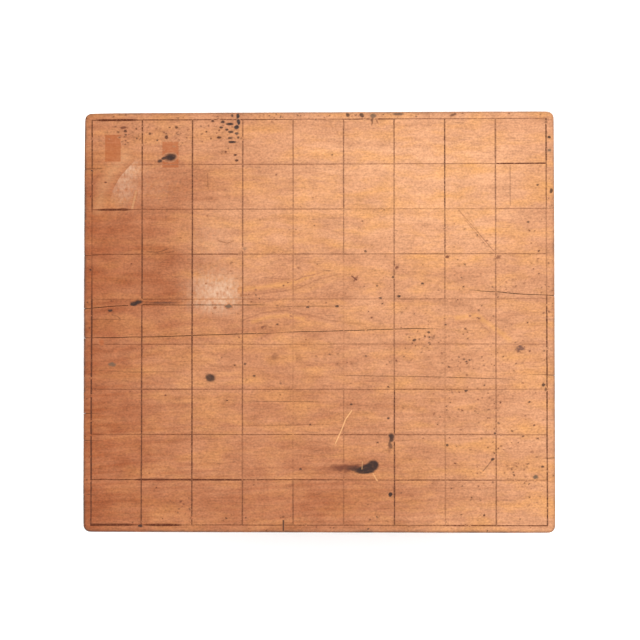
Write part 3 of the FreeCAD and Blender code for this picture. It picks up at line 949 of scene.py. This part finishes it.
# Where small dents and specks crowd: u, v, reach along u and v, how many. Each speck has its own random
# size, in mm across the grain, and is longer along it.
DENT_CROWDS = (
    (4.5, 4.5, 4.4, 4.3, 210),
    (7.6, 5.6, 1.5, 2.6, 250),
    (8.2, 8, 0.9, 0.9, 60),
    (1.4, 0.35, 1.2, 0.35, 70),
    (2.7, 0.35, 0.3, 0.45, 26),
    (0.7, 0.3, 0.35, 0.25, 20),
    (4.5, -0.09, 4.4, 0.08, 90),
    (6.6, 5, 0.35, 0.3, 26),
    (7.35, 5.35, 0.3, 0.2, 16),
    (8.4, 7.8, 0.25, 0.25, 16),
    (1.8, 8.55, 0.25, 0.2, 14),
    (8.9, 4, 0.25, 4.2, 50),
    (4.5, 8.95, 4.4, 0.2, 50),
    (-0.05, 4.5, 0.08, 4.4, 40),
)
DENT_SPREAD = 0.55  # share of the reach that holds most of a crowd
DENT_LIMITS = -0.12, 9.12
DENT_SIZE = 1.3
DENT_LENGTH = 1.5
DENT_RAGGED, DENT_SOFT = 0.5, 0.8
STROKE_SOFT, RUB_SOFT = 0.8, 2.0
INK_BROKEN, GHOST_BROKEN = 0.5, 1.2  # how far the grain shows through
MARK_STEP = 0.36 * MM
MARK_MARGIN = 0.9 * MM  # no mark comes nearer to the outline
FAINTEST = 0.02  # thinner cover than this is left out
MARK_DEPTH = 0.25 * MM
GHOST_LIFT = 0.02 * MM  # under the lacquer lines
INK_LIFT = 0.08 * MM  # over the lacquer lines


class Layer:
    """Marks laid over each other on a fine grid of points, which is kept only where there is a mark."""

    def __init__(self):
        self.spots = {}

    def lay(self, low, high, colour, cover_at):
        """Lays a colour as thickly as cover_at(x, y) says, within the box between two corners."""
        for column in range(math.floor(low[0] / MARK_STEP), math.ceil(high[0] / MARK_STEP) + 1):
            for row in range(math.floor(low[1] / MARK_STEP), math.ceil(high[1] / MARK_STEP) + 1):
                x, y = column * MARK_STEP, row * MARK_STEP
                cover = cover_at(x, y)
                if cover < FAINTEST or from_edge(x, y) < MARK_MARGIN:
                    continue
                *under, under_cover = self.spots.get((column, row), (*colour, 0.0))
                under_cover *= 1 - cover
                total = cover + under_cover
                blend = [(new * cover + old * under_cover) / total for new, old in zip(colour, under)]
                self.spots[column, row] = (*blend, total)

    def cells(self):
        """The grid squares that touch a spot, with one more wherever two would meet only at a corner."""
        cells = {(column - i, row - j) for column, row in self.spots for i in (0, 1) for j in (0, 1)}
        pinched = cells
        while pinched:
            pinched = {
                (column + side, row)
                for column, row in cells
                for side in (-1, 1)
                if (column + side, row + 1) in cells
                and (column + side, row) not in cells
                and (column, row + 1) not in cells
            }
            cells = cells | pinched
        return cells

    def build(self, name, lift, broken):
        """Makes the marks into one closed, very thin mesh that lies in the worn surface."""
        numbers, points, colours, faces = {}, [], [], []
        for column, row in sorted(self.cells()):
            corners = [(column, row), (column + 1, row), (column + 1, row + 1), (column, row + 1)]
            inked = next((self.spots[corner] for corner in corners if corner in self.spots), (*INK, 0.0))
            for corner in corners:
                if corner not in numbers:
                    numbers[corner] = len(points)
                    x, y = corner[0] * MARK_STEP, corner[1] * MARK_STEP
                    points.append((x, y, surface(x, y) - edge_drop(x, y) + lift))
                    colours.append(self.spots.get(corner, (*inked[:3], 0.0)))
            faces.append(tuple(numbers[corner] for corner in corners))
        tones = [tone(x, y) for x, y, _ in points]
        material = mark_material(f"{name}_soaked", broken)
        piece = new_piece(name, points, faces, material, {"tone": tones}, {"mark": colours})
        with_modifier(piece, "SOLIDIFY", thickness=MARK_DEPTH, offset=-1)
        belongs(piece, "board_wood")


def lay_blot(layer, centre, length, width, turn, colour, strength, ragged, soft):
    """An uneven oval: its edge wanders by a share of its width and fades over a share of its radius."""
    warp = ragged * width
    grain = 0.45 * width + 0.5 * MM
    soft = max(soft, 1.2 * MARK_STEP / width)
    cos_turn, sin_turn = math.cos(turn), math.sin(turn)

    def cover_at(x, y):
        out_x = x - centre[0] + warp * wander(x, y, grain, 61.0)
        out_y = y - centre[1] + warp * wander(x, y, grain, 62.0)
        along = (out_x * cos_turn + out_y * sin_turn) / (length / 2)
        across = (out_y * cos_turn - out_x * sin_turn) / (width / 2)
        return strength * ramp((1 + soft / 2 - math.hypot(along, across)) / soft)

    reach = (1 + soft) * length / 2 + warp
    low = centre[0] - reach, centre[1] - reach
    high = centre[0] + reach, centre[1] + reach
    layer.lay(low, high, colour, cover_at)


def lay_stroke(layer, cells, width, colour, strength, soft):
    """A line of even width through the given places, fading over a share of half its width."""
    line = [Vector(place(u, v)) for u, v in cells]
    half = width / 2
    fade = max(soft * half, 0.8 * MARK_STEP)

    def cover_at(x, y):
        spot = Vector((x, y))
        gap = min(distance_to(spot, start, end) for start, end in zip(line, line[1:]))
        return strength * ramp((half + fade / 2 - gap) / fade)

    low = [min(point[axis] for point in line) - width for axis in (0, 1)]
    high = [max(point[axis] for point in line) + width for axis in (0, 1)]
    layer.lay(low, high, colour, cover_at)


def distance_to(spot, start, end):
    """From a point to a straight stretch."""
    stretch = end - start
    part = ramp((spot - start).dot(stretch) / stretch.length_squared)
    return (spot - start - part * stretch).length


def make_ghosts():
    """What lies under the lacquer: rubs, swirls of the grain and the places of old labels."""
    layer = Layer()
    for cells, width, colour, strength in RUBS:
        lay_stroke(layer, cells, width * MM, colour, strength, RUB_SOFT)
    for low_u, high_u, low_v, high_v, strength in GHOSTS:
        (left, back), (right, front) = place(low_u, low_v), place(high_u, high_v)
        layer.lay((left, front), (right, back), RED_BROWN, lambda x, y: strength)
    layer.build("label_ghosts", GHOST_LIFT, GHOST_BROKEN)


def make_marks():
    """Every ink mark, stain, dent and scratch that lies over the lacquer."""
    layer = Layer()
    for u, v, length, width, turn, colour, strength, ragged, soft in BLOTS:
        lay_blot(
            layer, place(u, v), length * MM, width * MM, math.radians(turn), colour, strength, ragged, soft
        )
    for cells, width, colour, strength in STROKES:
        lay_stroke(layer, cells, width * MM, colour, strength, STROKE_SOFT)
    least, most = DENT_LIMITS
    for u, v, reach_u, reach_v, count in DENT_CROWDS:
        for _ in range(count):
            at_u = min(max(random.gauss(u, reach_u * DENT_SPREAD), least), most)
            at_v = min(max(random.gauss(v, reach_v * DENT_SPREAD), least), most)
            size = random.uniform(0.5, 1.02) ** 2 * DENT_SIZE * MM
            colour = random.choice((INK, DARK_BROWN, DARK_BROWN, BROWN))
            turn = random.uniform(-0.5, 0.5)
            strength = random.uniform(0.3, 0.95)
            length = DENT_LENGTH * size
            lay_blot(layer, place(at_u, at_v), length, size, turn, colour, strength, DENT_RAGGED, DENT_SOFT)
    layer.build("surface_marks", INK_LIFT, INK_BROKEN)


# ---------------------------------------------------------------- legs, floor, light and camera
def make_legs():
    """The legs keep their CAD shape and get upright wood."""
    material = leg_material()
    for name in LEGS:
        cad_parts[name].material_slots[0].material = material


FLOOR_HALF = 3.0
FLOOR_HEIGHT = -0.3 * MM  # just clear of the soles
FLOOR_DULL, FLOOR_BRIGHT = (0.94, 0.94, 0.94, 1), (0.97, 0.97, 0.97, 1)


def make_floor():
    """A plain pale floor."""
    ways = ((-1, -1), (1, -1), (1, 1), (-1, 1))
    corners = [(way_x * FLOOR_HALF, way_y * FLOOR_HALF, FLOOR_HEIGHT) for way_x, way_y in ways]
    material, tree = new_material("pale_floor")
    soft = grain_noise(tree, object_position(tree), (3, 3, 3))
    colour = mixed(tree, soft, FLOOR_DULL, FLOOR_BRIGHT)
    finish_material(tree, colour, soft, 0.9, bump=0.0)
    new_piece("floor", corners, [(0, 1, 2, 3)], material)


SKY_COLOUR, SKY_STRENGTH = (1.0, 1.0, 1.0, 1), 1.05
LAMP_SIZE = 1.8
KEY_PLACE, KEY_WATTS = (0.9, 0.8, 2.6), 52
FILL_PLACE, FILL_WATTS = (-0.9, -0.8, 2.6), 30


def soft_light(name, position, watts):
    """A large square lamp that faces the board."""
    data = bpy.data.lights.new(name, "AREA")
    data.size = LAMP_SIZE
    data.energy = watts
    lamp = bpy.data.objects.new(name, data)
    lamp.location = position
    lamp.rotation_euler = (Vector((0, 0, TOP)) - Vector(position)).to_track_quat("-Z", "Y").to_euler()
    bpy.context.collection.objects.link(lamp)


def make_light():
    """An even studio light from all sides, a little stronger from the back right."""
    world = bpy.data.worlds.new("studio")
    world.use_nodes = True
    background = world.node_tree.nodes["Background"]
    background.inputs["Color"].default_value = SKY_COLOUR
    background.inputs["Strength"].default_value = SKY_STRENGTH
    bpy.context.scene.world = world
    soft_light("key", KEY_PLACE, KEY_WATTS)
    soft_light("fill", FILL_PLACE, FILL_WATTS)
    bpy.context.scene.view_settings.view_transform = "Standard"


CAMERA_HEIGHT = 1.5  # above the top
CAMERA_SHIFT = 0.047  # towards the right and the front, which makes the near corner a little larger
VIEW_WIDTH = 0.4936  # width of the picture at the top of the board
AIM_X, AIM_Y = 1.3 * MM, 1.2 * MM
SENSOR_WIDTH = 36.0


def make_camera():
    """Straight above, leaning very slightly, with the back of the board up."""
    data = bpy.data.cameras.new("camera")
    data.sensor_width = SENSOR_WIDTH
    data.lens = SENSOR_WIDTH * CAMERA_HEIGHT / VIEW_WIDTH
    camera = bpy.data.objects.new("camera", data)
    aim = Vector((AIM_X, AIM_Y, TOP))
    camera.location = aim + Vector((CAMERA_SHIFT, -CAMERA_SHIFT, CAMERA_HEIGHT))
    back = (camera.location - aim).normalized()
    right = Vector((0, 1, 0)).cross(back).normalized()
    camera.rotation_euler = Matrix((right, back.cross(right), back)).transposed().to_euler()
    bpy.context.collection.objects.link(camera)
    bpy.context.scene.camera = camera


make_block()
make_lines()
make_ghosts()
make_marks()
make_legs()
make_floor()
make_light()
make_camera()
